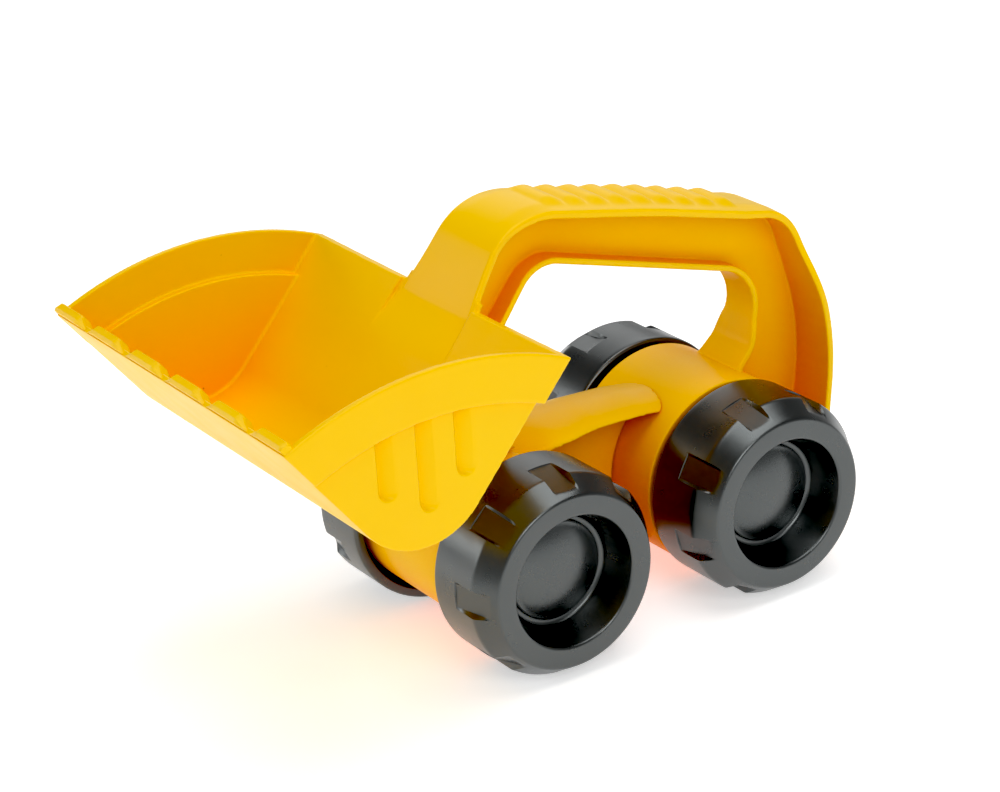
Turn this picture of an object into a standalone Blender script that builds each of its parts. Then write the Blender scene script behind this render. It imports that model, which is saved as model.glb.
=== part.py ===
"""Hand-pushed toy loader: a wide toothed scoop, a big grip handle and four fat wheels.

Frame: metres, +Z up, +X forward (scoop end), +Y the loader's left side.
The shapes are drawn from the point on the ground midway between the axles. The last step moves
every piece along X, so the origin ends up on the ground under the middle of the loader's length.
"""
import math

import bmesh
import bpy
from mathutils import Matrix, Vector

# ---------------------------------------------------------------- driving dimensions (metres)
U = 0.043                       # wheel radius; the other sizes are proportions of it
GAP = 0.0003                    # clearance left between touching pieces

AXLE_X = 1.254 * U              # both axles lie this far from the middle of the wheelbase
AXLE_Z = 1.0 * U
AXLE_R = 0.070 * U

WHEEL_IN_Y = 0.696 * U          # inner face of a wheel
WHEEL_OUT_Y = 1.553 * U         # flat outer ring of a wheel
RING_OUT_R = 0.857 * U
RING_IN_R = 0.655 * U
SHOULDER_Y = 1.33 * U           # where the outer bevel starts
NOTCH_Y = 1.05 * U              # where the long cut notches start
NOTCH_COUNT = 8
NOTCH_HALF_DEG = 7.4
DISH_Y = 1.200 * U              # floor of the outer recess
CAP_R = 0.4956 * U
CAP_DOME = 0.095 * U
HUB_R = 0.200 * U
HUB_IN_Y = 0.900 * U            # inner end of the wheel's hub tube
TREAD_T = 0.092 * U             # wheel wall

REAR_BARREL_R = 0.970 * U
REAR_BARREL_Y = 0.618 * U
FRONT_BARREL_R = 0.842 * U
FRONT_BARREL_Y = 0.870 * U
BARREL_WALL = 0.065 * U
BOSS_R = 0.200 * U              # axle boss in the middle of a barrel
BOSS_Y = 0.885 * U

WALL = 0.065 * U                # moulded wall of scoop and flanges
WEB = 0.045 * U                 # half thickness of the middle web

SCOOP_Y = 2.0915 * U            # half width over the rim band
BAND_STEP = 0.050 * U           # how far the rim band stands out from the panels
ARC_X = 2.9156 * U              # centre of the arc along the top of the side panels
ARC_Z = 0.4035 * U
ARC_R = 3.375 * U
BAND_R = 2.935 * U              # lower edge of the rim band, same centre
CORNER = (3.132 * U, 1.737 * U)     # where back wall and floor plate would meet
CORNER_R = 0.71 * U
BACK_DEG = 131.2                # direction of the back wall, rising to the rear
FLOOR_DEG = 52.6                # direction of the floor plate, rising to the lip
FLOOR_LEN = 2.105 * U           # from the corner point to the lip edge
BOW = 0.085 * U                 # how far the back wall bows out at mid width
PROUD = 0.008 * U               # the band's floor lies this much outside the panels' floor
TOOTH_W = 0.43 * U
TOOTH_COUNT = 6

SCREW_R = 0.0015
SCREW_HEAD_R = 0.0034
SCREW_HEAD_H = 0.0022
SCREW_BOSS_R = 0.0042


# ---------------------------------------------------------------- small tools
def material(name, colour, roughness, metallic=0.0):
    mat = bpy.data.materials.new(name)
    mat.use_nodes = True
    shader = mat.node_tree.nodes["Principled BSDF"]
    shader.inputs["Base Color"].default_value = (*colour, 1.0)
    shader.inputs["Roughness"].default_value = roughness
    shader.inputs["Metallic"].default_value = metallic
    mat.diffuse_color = (*colour, 1.0)
    return mat


def add_object(name, bm, mat=None):
    bmesh.ops.recalc_face_normals(bm, faces=bm.faces)
    mesh = bpy.data.meshes.new(name)
    bm.to_mesh(mesh)
    bm.free()
    obj = bpy.data.objects.new(name, mesh)
    bpy.context.scene.collection.objects.link(obj)
    if mat:
        mesh.materials.append(mat)
    return obj


def make_triangles(obj):
    """Split the faces into flat triangles and merge doubled points, so a Boolean stays exact."""
    bm = bmesh.new()
    bm.from_mesh(obj.data)
    bmesh.ops.remove_doubles(bm, verts=bm.verts, dist=2e-6)
    bmesh.ops.dissolve_degenerate(bm, edges=bm.edges, dist=2e-6)
    bmesh.ops.triangulate(bm, faces=bm.faces, quad_method="BEAUTY", ngon_method="BEAUTY")
    bm.to_mesh(obj.data)
    bm.free()


def combine(base, tool, operation):
    """Boolean the tool into the base, keep the result in the base and drop the tool."""
    make_triangles(base)
    make_triangles(tool)
    cut = base.modifiers.new("cut", "BOOLEAN")
    cut.operation = operation
    cut.solver = "EXACT"
    cut.object = tool
    bpy.context.view_layer.update()
    shape = bpy.data.meshes.new_from_object(base.evaluated_get(bpy.context.evaluated_depsgraph_get()))
    base.modifiers.remove(cut)
    bm = bmesh.new()
    bm.from_mesh(shape)
    bmesh.ops.remove_doubles(bm, verts=bm.verts, dist=2e-6)
    bmesh.ops.dissolve_limit(bm, angle_limit=math.radians(0.06), verts=bm.verts, edges=bm.edges)
    bm.to_mesh(shape)
    bm.free()
    old = base.data
    base.data = shape
    bpy.data.meshes.remove(old)
    bpy.data.objects.remove(tool, do_unlink=True)


def unite(base, *tools):
    for tool in tools:
        combine(base, tool, "UNION")


def subtract(base, *tools):
    for tool in tools:
        combine(base, tool, "DIFFERENCE")


def ring_loft(sections):
    """Closed tube-like solid through equal-length closed sections, capped at both ends."""
    bm = bmesh.new()
    rings = [[bm.verts.new(p) for p in section] for section in sections]
    count = len(rings[0])
    for a, b in zip(rings, rings[1:]):
        for i in range(count):
            j = (i + 1) % count
            bm.faces.new((a[i], a[j], b[j], b[i]))
    bm.faces.new(rings[0])
    bm.faces.new(rings[-1])
    return bm


def prism(points, y0, y1, slices=1, bend=None):
    """Solid with the outline (x, z) between y0 and y1; bend(x, y, z) may move a point in x, z."""
    sections = []
    for k in range(slices + 1):
        y = y0 + (y1 - y0) * k / slices
        section = []
        for x, z in points:
            dx, dz = bend(x, y, z) if bend else (0.0, 0.0)
            section.append((x + dx, y, z + dz))
        sections.append(section)
    return ring_loft(sections)


def lathe(profile, segments, x, z):
    """Turn a closed (radius, y) outline about the Y axis through (x, z)."""
    bm = bmesh.new()
    rows = []
    for radius, y in profile:
        if radius == 0.0:
            rows.append([bm.verts.new((x, y, z))])
            continue
        row = []
        for k in range(segments):
            a = math.tau * k / segments
            row.append(bm.verts.new((x + radius * math.cos(a), y, z + radius * math.sin(a))))
        rows.append(row)
    for a, b in zip(rows, rows[1:] + rows[:1]):
        if len(a) == 1 and len(b) == 1:
            continue
        for k in range(segments):
            j = (k + 1) % segments
            if len(a) == 1:
                bm.faces.new((a[0], b[j], b[k]))
            elif len(b) == 1:
                bm.faces.new((a[k], a[j], b[0]))
            else:
                bm.faces.new((a[k], a[j], b[j], b[k]))
    return bm


def rod(start, end, radius, segments=16):
    """Round bar between two points."""
    start = Vector(start)
    axis = Vector(end) - start
    turn = axis.to_track_quat("Z", "Y").to_matrix().to_4x4()
    bm = bmesh.new()
    bmesh.ops.create_cone(bm, cap_ends=True, segments=segments, radius1=radius, radius2=radius,
                          depth=axis.length, matrix=Matrix.Translation(start + axis / 2) @ turn)
    return bm


def filleted(corners, step_deg=9.0):
    """Round a polyline. A corner is (x, z, fillet radius, half width).

    Returns (x, z, half width, distance along) for each point."""
    points = []
    for i, (x, z, radius, half) in enumerate(corners):
        here = Vector((x, z))
        if i in (0, len(corners) - 1) or radius == 0.0:
            points.append((here, half))
            continue
        before = (Vector(corners[i - 1][:2]) - here).normalized()
        after = (Vector(corners[i + 1][:2]) - here).normalized()
        inside = before.angle(after)
        reach = radius / math.tan(inside / 2)
        centre = here + (before + after).normalized() * (radius / math.sin(inside / 2))
        first = here + before * reach - centre
        last = here + after * reach - centre
        turn = math.pi - inside
        steps = max(2, math.ceil(math.degrees(turn) / step_deg))
        way = 1.0 if first.x * last.y - first.y * last.x > 0 else -1.0
        for k in range(steps + 1):
            a = way * turn * k / steps
            spoke = Vector((first.x * math.cos(a) - first.y * math.sin(a),
                            first.x * math.sin(a) + first.y * math.cos(a)))
            points.append((centre + spoke, half))
    out = []
    along = 0.0
    for i, (point, half) in enumerate(points):
        if i:
            along += (point - points[i - 1][0]).length
        out.append((point.x, point.y, half, along))
    return out


def resample(path, step, first=None, last=None):
    """Add points on the straight parts so that no step is longer than asked for."""
    out = [path[0]]
    for a, b in zip(path, path[1:]):
        length = b[3] - a[3]
        inside = (first is None or b[3] > first) and (last is None or a[3] < last)
        parts = max(1, math.ceil(length / step)) if inside else 1
        for k in range(1, parts + 1):
            t = k / parts
            out.append(tuple(a[m] + (b[m] - a[m]) * t for m in range(4)))
    return out


def side_of_path(path, i):
    """Unit normal of the path, pointing to its right-hand side (x, z plane)."""
    a = path[max(i - 1, 0)]
    b = path[min(i + 1, len(path) - 1)]
    tangent = Vector((b[0] - a[0], b[1] - a[1])).normalized()
    return Vector((tangent.y, -tangent.x))


def flange(path, thickness, edge, side, ribs=None):
    """Strip along a path: its face lies on the path and its body on the given side.

    ribs(distance, share of half width) lifts the face."""
    sections = []
    for i, (x, z, half, along) in enumerate(path):
        normal = side_of_path(path, i) * side
        rows = [(0.0, -(half - edge)), (0.0, -0.62 * half), (0.0, 0.0), (0.0, 0.62 * half),
                (0.0, half - edge), (edge, half), (thickness, half), (thickness, -half),
                (edge, -half)]
        section = []
        for depth, y in rows:
            if ribs and depth == 0.0:
                depth = -ribs(along, y / half)
            section.append((x + normal.x * depth, y, z + normal.y * depth))
        sections.append(section)
    return ring_loft(sections)


def offset_path(path, distance, side):
    return [(p[0] + (side_of_path(path, i) * side * distance).x,
             p[1] + (side_of_path(path, i) * side * distance).y) for i, p in enumerate(path)]


def arc_points(cx, cz, radius, start_deg, end_deg, count):
    out = []
    for k in range(count + 1):
        a = math.radians(start_deg + (end_deg - start_deg) * k / count)
        out.append((cx + radius * math.cos(a), cz + radius * math.sin(a)))
    return out


# ---------------------------------------------------------------- scoop
BACK_DIR = Vector((math.cos(math.radians(BACK_DEG)), math.sin(math.radians(BACK_DEG))))
FLOOR_DIR = Vector((math.cos(math.radians(FLOOR_DEG)), math.sin(math.radians(FLOOR_DEG))))
BACK_OUT = Vector((-BACK_DIR.y, BACK_DIR.x))        # away from the load, to the rear and down
FLOOR_OUT = Vector((FLOOR_DIR.y, -FLOOR_DIR.x))     # away from the load, to the front and down


def arc_hit(point, direction, radius):
    """Distance along a line, from the point, to the circle about the arc centre."""
    rel = Vector(point) - Vector((ARC_X, ARC_Z))
    b = rel.dot(direction)
    return -b + math.sqrt(b * b - rel.length_squared + radius * radius)


def scoop_outline(inset, back_out, top_radius, low_radius=None, reach=None):
    """Side outline of the scoop's solid or of its cavity.

    inset moves back wall and floor inward; back_out moves only the back wall outward. The outline
    is closed by the top arc, and when low_radius is given it keeps only the band above that arc."""
    corner = Vector(CORNER)
    half = math.radians((BACK_DEG - FLOOR_DEG) / 2)
    corner = corner + (BACK_DIR + FLOOR_DIR).normalized() * (inset / math.sin(half))
    back_start = corner + BACK_OUT * back_out
    floor_len = reach if reach else FLOOR_LEN
    top_back = back_start + BACK_DIR * arc_hit(back_start, BACK_DIR, top_radius)
    lip = corner + FLOOR_DIR * min(floor_len, arc_hit(corner, FLOOR_DIR, top_radius))
    angle_back = math.degrees(math.atan2(top_back.y - ARC_Z, top_back.x - ARC_X))
    angle_lip = math.degrees(math.atan2(lip.y - ARC_Z, lip.x - ARC_X))
    outline = arc_points(ARC_X, ARC_Z, top_radius, angle_lip, angle_back, 18)
    if (Vector(outline[0]) - lip).length > 1e-5:
        outline.insert(0, tuple(lip))
    if low_radius:
        low_back = back_start + BACK_DIR * arc_hit(back_start, BACK_DIR, low_radius)
        low_lip = corner + FLOOR_DIR * arc_hit(corner, FLOOR_DIR, low_radius)
        a = math.degrees(math.atan2(low_back.y - ARC_Z, low_back.x - ARC_X))
        b = math.degrees(math.atan2(low_lip.y - ARC_Z, low_lip.x - ARC_X))
        return outline + arc_points(ARC_X, ARC_Z, low_radius, a, b, 14)
    radius = CORNER_R - inset
    reach_back = radius / math.tan(half)
    centre = corner + (BACK_DIR + FLOOR_DIR).normalized() * (radius / math.sin(half))
    start = math.degrees(math.atan2(*(corner + BACK_DIR * reach_back - centre).yx))
    end = math.degrees(math.atan2(*(corner + FLOOR_DIR * reach_back - centre).yx))
    return outline + arc_points(centre.x, centre.y, radius, start, end, 9)


def bow(x, y, z):
    """The back wall bows outward between the side panels, fading out toward the floor."""
    rel = Vector((x, z)) - Vector(CORNER)
    up = max(0.0, min(1.0, (rel.dot(BACK_DIR) - 0.45 * U) / (1.1 * U)))
    back = max(0.0, min(1.0, 1.0 - (-rel.dot(BACK_OUT) - 0.30 * U) / (0.4 * U)))
    amount = BOW * (1.0 - (y / SCOOP_Y) ** 2) * up * back
    return BACK_OUT.x * amount, BACK_OUT.y * amount


def tooth(y):
    """One rounded digging tooth on the lip edge, centred at y."""
    sections = []
    tip = Vector(CORNER) + FLOOR_DIR * FLOOR_LEN
    for share, grow in ((-0.5, 0.35), (-0.40, 0.85), (-0.27, 1.0), (0.27, 1.0), (0.40, 0.85), (0.5, 0.35)):
        out = 0.085 * U * grow
        thick = 0.105 * U * grow
        section = []
        for along, up in ((-0.153 * U, 0.31 * WALL), (out, 0.23 * WALL), (out + 0.02 * U, 0.5 * thick + 0.01 * U),
                          (out, thick + 0.007 * U), (-0.05 * U, thick + 0.007 * U), (-0.157 * U, 0.57 * WALL)):
            p = tip + FLOOR_DIR * along - FLOOR_OUT * up
            section.append((p.x, y + share * TOOTH_W, p.y))
        sections.append(section)
    return ring_loft(sections)


def tooth_y(k):
    first = -SCOOP_Y + TOOTH_W / 2 + 0.013 * U
    return first - 2 * first * k / (TOOTH_COUNT - 1)


def back_point(distance, out):
    """Point on the back wall's outer line at a distance from the corner, moved outward."""
    p = Vector(CORNER) + BACK_DIR * distance + BACK_OUT * out
    return p


LEG_HALF = 0.60 * U             # half width of the handle's front leg where it meets the scoop
NOTCH_FROM = 1.86 * U           # the leg's notch in the back wall starts here, up from the corner
SCOOP_SCREW_AT = 1.42 * U
SCOOP_SCREW_Y = 0.30 * U
SCOOP_BOW = 0.85 * BOW            # bow of the wall at the screws
LEG_OUT = BOW + 0.020 * U       # front face of the leg, out from the back wall's line


def make_scoop(mat):
    panel_y = SCOOP_Y - BAND_STEP
    scoop = add_object("scoop", prism(scoop_outline(0.0, 0.0, BAND_R + 0.05 * U), -panel_y, panel_y, 10, bow), mat)
    band = add_object("band", prism(scoop_outline(-PROUD, BAND_STEP, ARC_R, BAND_R), -SCOOP_Y, SCOOP_Y, 10, bow))
    unite(scoop, band)
    low = add_object("low", prism(scoop_outline(WALL, 0.0, ARC_R + 0.3 * U, reach=4 * U),
                                  WALL - panel_y, panel_y - WALL, 10, bow))
    high = add_object("high", prism(scoop_outline(WALL - PROUD, 0.0, ARC_R + 0.25 * U, BAND_R + 0.03 * U,
                                                  reach=4 * U),
                                    WALL - SCOOP_Y, SCOOP_Y - WALL, 10, bow))
    subtract(scoop, low, high)
    teeth = add_object("teeth", tooth(tooth_y(0)))
    for k in range(1, TOOTH_COUNT):
        unite(teeth, add_object("tooth", tooth(tooth_y(k))))
    unite(scoop, teeth)
    for side in (-1, 1):
        for x, z_low in ((3.43 * U, 2.69 * U), (3.03 * U, 2.47 * U), (2.64 * U, 2.69 * U)):
            outline = [(x - 0.105 * U, 3.45 * U), (x - 0.105 * U, z_low + 0.105 * U)]
            outline += arc_points(x, z_low + 0.105 * U, 0.105 * U, 180, 360, 6)[1:]
            outline.append((x + 0.105 * U, 3.45 * U))
            depth = 0.028 * U
            outer = side * (panel_y + 0.1 * U)
            inner = side * (panel_y - depth)
            groove = add_object("groove", prism(outline, min(outer, inner), max(outer, inner)))
            mask = add_object("mask", prism(arc_points(ARC_X, ARC_Z, BAND_R, 60, 120, 20)
                                            + [(0.5 * U, 1.5 * U), (5.5 * U, 1.5 * U)],
                                            -3 * U, 3 * U))
            combine(groove, mask, "INTERSECT")
            subtract(scoop, groove)
    slot = []
    for distance, out in ((NOTCH_FROM, 0.5 * U), (NOTCH_FROM, -0.42 * U), (3.2 * U, -0.42 * U), (3.2 * U, 0.5 * U)):
        p = back_point(distance, out)
        slot.append((p.x, p.y))
    subtract(scoop, add_object("slot", prism(slot, -LEG_HALF - 2 * GAP, LEG_HALF + 2 * GAP)))
    for side in (-1, 1):
        a = back_point(SCOOP_SCREW_AT, SCOOP_BOW - 0.4 * WALL)
        b = back_point(SCOOP_SCREW_AT, SCREW_PAD)
        y = side * SCOOP_SCREW_Y
        unite(scoop, add_object("boss", rod((a.x, y, a.y), (b.x, y, b.y), SCREW_BOSS_R, 20)))
        a = back_point(SCOOP_SCREW_AT, SCOOP_BOW - 0.45 * WALL)
        b = back_point(SCOOP_SCREW_AT, SCREW_PAD + 0.1 * U)
        subtract(scoop, add_object("pilot", rod((a.x, y, a.y), (b.x, y, b.y), SCREW_R + GAP, 12)))
    return scoop


# ---------------------------------------------------------------- handle frame
LEG_DIR = Vector((-0.5932, 0.8050))                  # the front leg rises this way
LEG_BASE = Vector((1.507 * U, 3.50 * U))             # a point on the leg's front face
SCREW_PAD = LEG_OUT + WALL - 0.004 * U               # scoop bosses end just inside the leg's flange
RIB_PITCH = 0.262 * U           # rounded ribs across the top of the grip
RIB_COUNT = 9
RIB_HEIGHT = 0.034 * U


def outer_corners():
    """Outer edge of the handle frame, from the front foot over the grip to the rear bumper."""
    low = back_point(1.05 * U, LEG_OUT)
    knee = back_point(1.80 * U, LEG_OUT)
    return [
        (1.70 * U, 1.55 * U, 0.0, 0.42 * U),
        (2.02 * U, 2.15 * U, 0.35 * U, 0.46 * U),
        (low.x, low.y, 0.30 * U, 0.56 * U),
        (knee.x, knee.y, 1.2 * U, 0.60 * U),
        (0.955 * U, 4.248 * U, 0.74 * U, 0.45 * U),
        (-2.291 * U, 3.408 * U, 0.84 * U, 0.43 * U),
        (-2.733 * U, 2.030 * U, 2.60 * U, 0.55 * U),
        (-2.560 * U, 0.800 * U, 0.45 * U, 0.58 * U),
        (-1.800 * U, 0.260 * U, 0.0, 0.50 * U),
    ]


def inner_corners():
    """Edge of the finger opening, from the front foot up, back along the grip and down to the barrel."""
    return [
        (0.98 * U, 1.80 * U, 0.0, 0.36 * U),
        (1.19 * U, 2.10 * U, 0.25 * U, 0.32 * U),
        (1.30 * U, 2.75 * U, 0.40 * U, 0.29 * U),
        (0.603 * U, 3.591 * U, 0.36 * U, 0.25 * U),
        (-2.080 * U, 2.770 * U, 0.45 * U, 0.22 * U),
        (-1.830 * U, 2.080 * U, 0.30 * U, 0.30 * U),
        (-1.580 * U, 1.830 * U, 0.0, 0.36 * U),
    ]


def grip_ribs(along_start):
    def ribs(along, share):
        run = along - along_start
        if run < 0 or run > RIB_PITCH * RIB_COUNT:
            return 0.0
        wave = abs(math.sin(math.pi * run / RIB_PITCH))
        return RIB_HEIGHT * wave * math.sqrt(max(0.0, 1.0 - abs(share / 0.86) ** 6))
    return ribs


def barrel_profile(radius, end_y):
    inner = radius - BARREL_WALL
    bore = AXLE_R + GAP
    return [(radius - 0.02 * U, -end_y), (radius, -end_y + 0.02 * U), (radius, end_y - 0.02 * U),
            (radius - 0.02 * U, end_y), (inner, end_y), (inner, WEB), (BOSS_R, WEB), (BOSS_R, BOSS_Y),
            (bore, BOSS_Y), (bore, -BOSS_Y), (BOSS_R, -BOSS_Y), (BOSS_R, -WEB), (inner, -WEB),
            (inner, -end_y)]


def chassis_clearance(extra):
    """Side outline of the room the front chassis needs, grown by extra."""
    top = ARM_TOP + extra
    outline = arc_points(AXLE_X, AXLE_Z, FRONT_BARREL_R + extra, 90, -90, 24)
    outline += [(0.0, 0.2 * U), (0.0, top), (AXLE_X - 0.12 * U, top)]
    return outline


ARM_TOP = 1.870 * U
FOOT_SCREW_X = 1.36 * U
FOOT_SCREW_Y = 0.130 * U
ARM_SCREW_Z = 0.70 * U
ARM_SCREW_Y = 0.130 * U


def barrel_angle(point):
    return math.degrees(math.atan2(point[1] - AXLE_Z, point[0] + AXLE_X)) % 360


def outside_barrel(points, radius):
    return [p for p in points if math.hypot(p[0] + AXLE_X, p[1] - AXLE_Z) > radius]


def make_handle_frame(mat):
    outer = filleted(outer_corners())
    inner = filleted(inner_corners())
    start = next(p[3] for p in outer if p[0] < 0.60 * U and p[1] > 4.0 * U)
    outer = resample(outer, RIB_PITCH / 6, start, start + RIB_PITCH * RIB_COUNT + RIB_PITCH / 6)
    frame = add_object("handle_frame", flange(outer, WALL, 0.030 * U, -1, grip_ribs(start + 0.05 * U)), mat)
    rim = add_object("rim", flange(inner, WALL, 0.018 * U, 1))
    mid_wall = REAR_BARREL_R - 0.5 * BARREL_WALL
    web_outline = outside_barrel(offset_path(outer, 0.8 * WALL, -1), mid_wall)
    back_edge = outside_barrel(offset_path(inner, 0.8 * WALL, 1), mid_wall)[::-1]
    a = barrel_angle(web_outline[-1])
    b = barrel_angle(back_edge[0])
    web_outline += arc_points(-AXLE_X, AXLE_Z, mid_wall, a, b, 14)
    web_outline += back_edge
    web = add_object("web", prism(web_outline, -WEB, WEB))
    low = back_point(NOTCH_FROM + 2 * GAP, BOW - WALL)
    base = back_point(NOTCH_FROM + 2 * GAP, LEG_OUT + 0.55 * WALL)
    pad = add_object("pad", prism([(low.x, low.y), (1.500 * U, 3.512 * U), (1.440 * U, 3.500 * U), (base.x, base.y)],
                                  -LEG_HALF + 0.003 * U, LEG_HALF - 0.003 * U))
    unite(frame, rim, web, pad)
    bosses = []
    for side in (-1, 1):
        y = side * FOOT_SCREW_Y
        bosses.append(add_object("boss", rod((FOOT_SCREW_X, y, 1.75 * U), (FOOT_SCREW_X, y, 2.22 * U),
                                             SCREW_BOSS_R, 20)))
    unite(frame, *bosses)
    core = add_object("core", rod((-AXLE_X, -0.61 * U, AXLE_Z), (-AXLE_X, 0.61 * U, AXLE_Z), mid_wall, 44))
    subtract(frame, core)
    room = add_object("room", prism(chassis_clearance(GAP), -1.5 * U, 1.5 * U))
    subtract(frame, room)
    barrel = add_object("barrel", lathe(barrel_profile(REAR_BARREL_R, REAR_BARREL_Y), 44, -AXLE_X, AXLE_Z))
    unite(frame, barrel)
    for side in (-1, 1):
        y = side * FOOT_SCREW_Y
        subtract(frame, add_object("pilot", rod((FOOT_SCREW_X, y, 1.7 * U), (FOOT_SCREW_X, y, 2.14 * U),
                                                SCREW_R + GAP, 12)))
        y = side * ARM_SCREW_Y
        subtract(frame, add_object("hole", rod((-0.6 * U, y, ARM_SCREW_Z), (-0.1 * U, y, ARM_SCREW_Z),
                                               SCREW_R + GAP, 12)))
        y = side * SCOOP_SCREW_Y
        a = back_point(SCOOP_SCREW_AT, -0.05 * U)
        b = back_point(SCOOP_SCREW_AT, 0.5 * U)
        subtract(frame, add_object("hole", rod((a.x, y, a.y), (b.x, y, b.y), SCREW_BOSS_R + GAP, 20)))
    return frame


# ---------------------------------------------------------------- front chassis and arm
def make_front_chassis(mat):
    barrel = add_object("front_chassis", lathe(barrel_profile(FRONT_BARREL_R, FRONT_BARREL_Y), 40, AXLE_X, AXLE_Z), mat)
    for side in (-1, 1):
        y = side * FOOT_SCREW_Y
        subtract(barrel, add_object("hole", rod((FOOT_SCREW_X, y, 1.60 * U), (FOOT_SCREW_X, y, 2.0 * U),
                                                SCREW_R + GAP, 12)))
    return barrel


def make_arm(mat):
    """Arm between the two barrels: a flared top, a keel and a web, open at both sides."""
    top = filleted([(-0.80 * U, 1.790 * U, 0.0, 0.37 * U), (-0.10 * U, ARM_TOP, 1.5 * U, 0.34 * U),
                    (0.72 * U, ARM_TOP, 0.0, 0.42 * U), (1.06 * U, ARM_TOP - 0.006 * U, 0.0, 0.60 * U)], 3.0)
    arm = add_object("arm", flange(top, 0.11 * U, 0.045 * U, 1), mat)
    bottom = filleted([(-0.70 * U, 0.42 * U, 0.0, 0.34 * U), (0.0, 0.36 * U, 0.6 * U, 0.34 * U),
                       (0.95 * U, 0.26 * U, 0.0, 0.34 * U)], 6.0)
    keel = add_object("keel", flange(bottom, WALL, 0.02 * U, -1))
    web = add_object("web", prism([(-0.78 * U, 1.75 * U), (0.95 * U, 1.80 * U), (0.95 * U, 0.30 * U),
                                   (-0.78 * U, 0.43 * U)], -WEB, WEB))
    unite(arm, keel, web)
    for side in (-1, 1):
        y = side * ARM_SCREW_Y
        unite(arm, add_object("boss", rod((-0.45 * U, y, ARM_SCREW_Z), (0.17 * U, y, ARM_SCREW_Z), SCREW_BOSS_R, 20)))
    subtract(arm, add_object("rear_room", rod((-AXLE_X, -0.9 * U, AXLE_Z), (-AXLE_X, 0.9 * U, AXLE_Z),
                                              REAR_BARREL_R + GAP, 44)))
    subtract(arm, add_object("front_room", rod((AXLE_X, -1.2 * U, AXLE_Z), (AXLE_X, 1.2 * U, AXLE_Z),
                                               FRONT_BARREL_R + GAP, 40)))
    for side in (-1, 1):
        y = side * ARM_SCREW_Y
        subtract(arm, add_object("pilot", rod((-0.6 * U, y, ARM_SCREW_Z), (0.10 * U, y, ARM_SCREW_Z),
                                              SCREW_R + GAP, 12)))
    return arm


# ---------------------------------------------------------------- wheels, caps, axles, clips
def wheel_mesh():
    """Hollow moulded wheel about the Y axis through its own origin, outer side at +Y."""
    inner_r = U - TREAD_T
    bore = AXLE_R + GAP
    profile = [(bore, HUB_IN_Y), (HUB_R, HUB_IN_Y), (HUB_R, DISH_Y - 0.10 * U), (0.60 * U, DISH_Y - 0.10 * U),
               (0.755 * U, WHEEL_OUT_Y - 0.090 * U),
               (inner_r - 0.055 * U, SHOULDER_Y - 0.03 * U), (inner_r, SHOULDER_Y - 0.25 * U), (inner_r, WHEEL_IN_Y),
               (0.985 * U, WHEEL_IN_Y), (U, WHEEL_IN_Y + 0.03 * U), (U, NOTCH_Y), (U, SHOULDER_Y),
               (0.905 * U, 1.478 * U), (RING_OUT_R, WHEEL_OUT_Y), (RING_IN_R + 0.02 * U, WHEEL_OUT_Y),
               (RING_IN_R - 0.02 * U, WHEEL_OUT_Y - 0.05 * U), (0.535 * U, DISH_Y), (0.19 * U, DISH_Y),
               (0.19 * U, DISH_Y - 0.05 * U), (bore, DISH_Y - 0.05 * U)]
    notch_row = 11
    flat_start = U * math.cos(math.radians(NOTCH_HALF_DEG))
    pitch = 360.0 / NOTCH_COUNT
    cols = []
    for k in range(NOTCH_COUNT):
        for offset, in_notch in ((-0.34 * pitch, False), (-NOTCH_HALF_DEG - 0.8, False), (-NOTCH_HALF_DEG, True),
                                 (0.0, True), (NOTCH_HALF_DEG, True), (NOTCH_HALF_DEG + 0.8, False),
                                 (0.34 * pitch, False), (pitch / 2, False)):
            cols.append((k * pitch + offset, offset, in_notch))
    bm = bmesh.new()
    rows = []
    for i, (radius, y) in enumerate(profile):
        row = []
        for angle, offset, in_notch in cols:
            r = radius
            if in_notch and i == notch_row:
                floor = flat_start + (0.905 * U - flat_start) * (y - NOTCH_Y) / (1.478 * U - NOTCH_Y)
                r = min(radius, floor / math.cos(math.radians(offset)))
            a = math.radians(angle)
            row.append(bm.verts.new((r * math.cos(a), y, r * math.sin(a))))
        rows.append(row)
    for a, b in zip(rows, rows[1:] + rows[:1]):
        for k in range(len(cols)):
            j = (k + 1) % len(cols)
            bm.faces.new((a[k], a[j], b[j], b[k]))
    return bm


def cap_mesh():
    """Domed hub cap with a hollow behind it for the axle's end."""
    seat = DISH_Y + GAP
    profile = [(0.0, seat + 0.05 * U), (0.21 * U, seat + 0.05 * U), (0.21 * U, seat), (CAP_R, seat),
               (CAP_R, seat + 0.012 * U)]
    for share in (0.86, 0.6, 0.3):
        profile.append((CAP_R * share, seat + 0.012 * U + CAP_DOME * (1 - share * share)))
    profile.append((0.0, seat + 0.012 * U + CAP_DOME))
    return lathe(profile, 32, 0.0, 0.0)


def clip_mesh():
    """Push-on washer that holds a wheel on the axle's end."""
    y0 = DISH_Y - 0.05 * U + GAP
    return lathe([(AXLE_R + GAP, y0), (0.155 * U, y0), (0.155 * U, y0 + 0.02 * U), (0.11 * U, y0 + 0.036 * U),
                  (AXLE_R + GAP, y0 + 0.036 * U)], 16, 0.0, 0.0)


def make_corner(prefix, x, side, turn_deg, mats):
    """Wheel, hub cap and clip at one end of an axle, the wheel turned so its notches stand at turn_deg."""
    for name, build, mat in (("wheel", wheel_mesh, mats["wheel"]), ("hub_cap", cap_mesh, mats["cap"]),
                             ("axle_clip", clip_mesh, mats["steel"])):
        bm = build()
        if name == "wheel":
            bmesh.ops.rotate(bm, matrix=Matrix.Rotation(math.radians(-turn_deg), 3, "Y"), verts=bm.verts)
        if side < 0:
            bmesh.ops.scale(bm, vec=(1, -1, 1), verts=bm.verts)
        obj = add_object(prefix + "_" + name, bm, mat)
        obj.location = (x, 0.0, AXLE_Z)


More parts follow.
